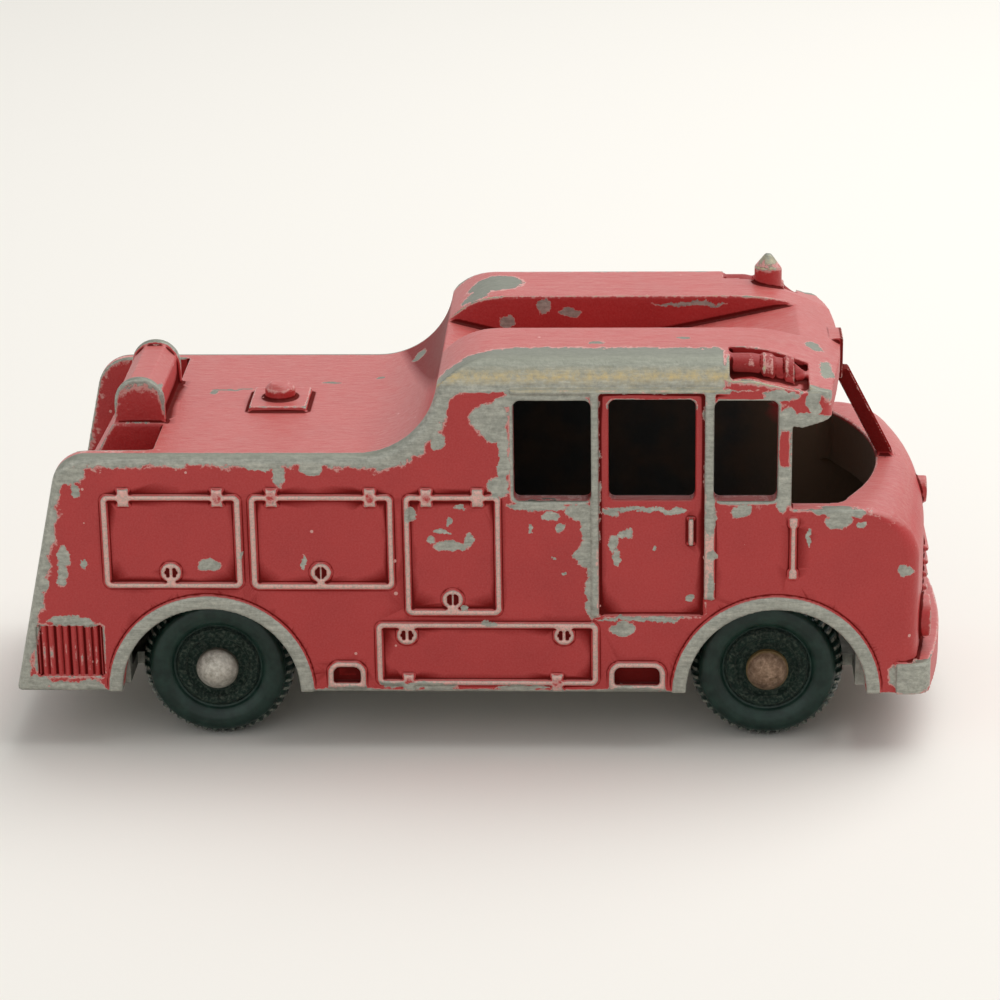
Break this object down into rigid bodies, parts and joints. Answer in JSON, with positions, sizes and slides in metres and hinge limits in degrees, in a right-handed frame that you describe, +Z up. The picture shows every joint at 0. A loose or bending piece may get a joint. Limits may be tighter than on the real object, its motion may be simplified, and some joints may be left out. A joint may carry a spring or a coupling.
{
  "type": "toy fire engine",
  "caption": "Pocket-size die-cast toy fire engine: one-piece hollow cab and locker body, riveted base plate, free-rolling moulded wheels on steel axles.",
  "frame": {"origin": "on the ground under the middle of the vehicle, halfway along its length and width", "axes": "+X forward along the vehicle, +Y to the vehicle's left, +Z up"},
  "size_m": [0.0574, 0.0206, 0.027],
  "materials": {
    "red_enamel": "worn red stove enamel over zinc casting, chipped to bare metal on edges",
    "bare_zinc": "bare dull grey zinc casting",
    "axle_steel": "plain steel, dull, light rust",
    "black_wheel": "moulded greenish-black plastic with a fine tread"
  },
  "bodies": {
    "chassis": {"body": "red_enamel", "base_plate": "bare_zinc"},
    "front_axle": {"front_axle": "axle_steel"},
    "rear_axle": {"rear_axle": "axle_steel"},
    "wheel_front_right": {"wheel_front_right": "black_wheel"},
    "wheel_front_left": {"wheel_front_left": "black_wheel"},
    "wheel_rear_right": {"wheel_rear_right": "black_wheel"},
    "wheel_rear_left": {"wheel_rear_left": "black_wheel"}
  },
  "joints": [
    {"name": "front_axle_spin", "type": "hinge", "parent": "chassis", "child": "front_axle", "pos_m": [0.01765, 0, 0.0047], "axis": [0, 1, 0], "continuous": true},
    {"name": "rear_axle_spin", "type": "hinge", "parent": "chassis", "child": "rear_axle", "pos_m": [-0.01635, 0, 0.0047], "axis": [0, 1, 0], "continuous": true},
    {"name": "wheel_front_right_spin", "type": "hinge", "parent": "front_axle", "child": "wheel_front_right", "pos_m": [0.01765, -0.0074, 0.0047], "axis": [0, 1, 0], "continuous": true},
    {"name": "wheel_front_left_spin", "type": "hinge", "parent": "front_axle", "child": "wheel_front_left", "pos_m": [0.01765, 0.0074, 0.0047], "axis": [0, 1, 0], "continuous": true},
    {"name": "wheel_rear_right_spin", "type": "hinge", "parent": "rear_axle", "child": "wheel_rear_right", "pos_m": [-0.01635, -0.0074, 0.0047], "axis": [0, 1, 0], "continuous": true},
    {"name": "wheel_rear_left_spin", "type": "hinge", "parent": "rear_axle", "child": "wheel_rear_left", "pos_m": [-0.01635, 0.0074, 0.0047], "axis": [0, 1, 0], "continuous": true}
  ]
}
